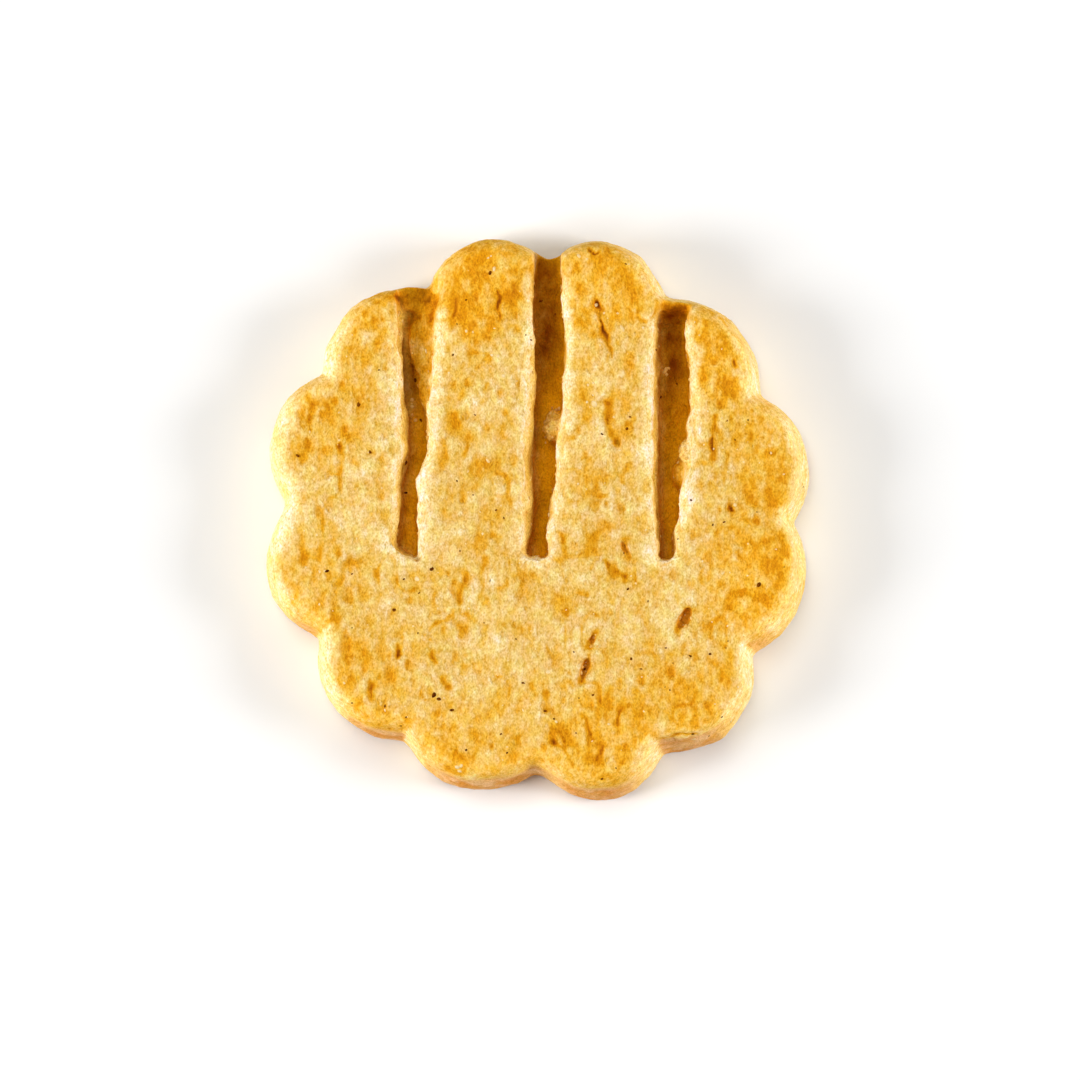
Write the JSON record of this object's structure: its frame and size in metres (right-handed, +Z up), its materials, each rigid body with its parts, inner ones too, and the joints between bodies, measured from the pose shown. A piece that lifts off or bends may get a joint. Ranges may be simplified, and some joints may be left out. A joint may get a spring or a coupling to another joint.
{
  "type": "sesame cheese sable biscuit",
  "caption": "Fluted round savoury shortbread biscuit with a scalloped rim, deep grooves running in from the rim and a golden toasted top.",
  "frame": {"origin": "middle of the flat baked underside", "axes": "+Z up out of the top face, +Y towards the end where the grooves leave the rim, +X to the right in the picture"},
  "size_m": [0.0504, 0.0522, 0.0081],
  "materials": {
    "baked_crust": null
  },
  "bodies": {
    "root": {"biscuit": "baked_crust"}
  },
  "joints": []
}
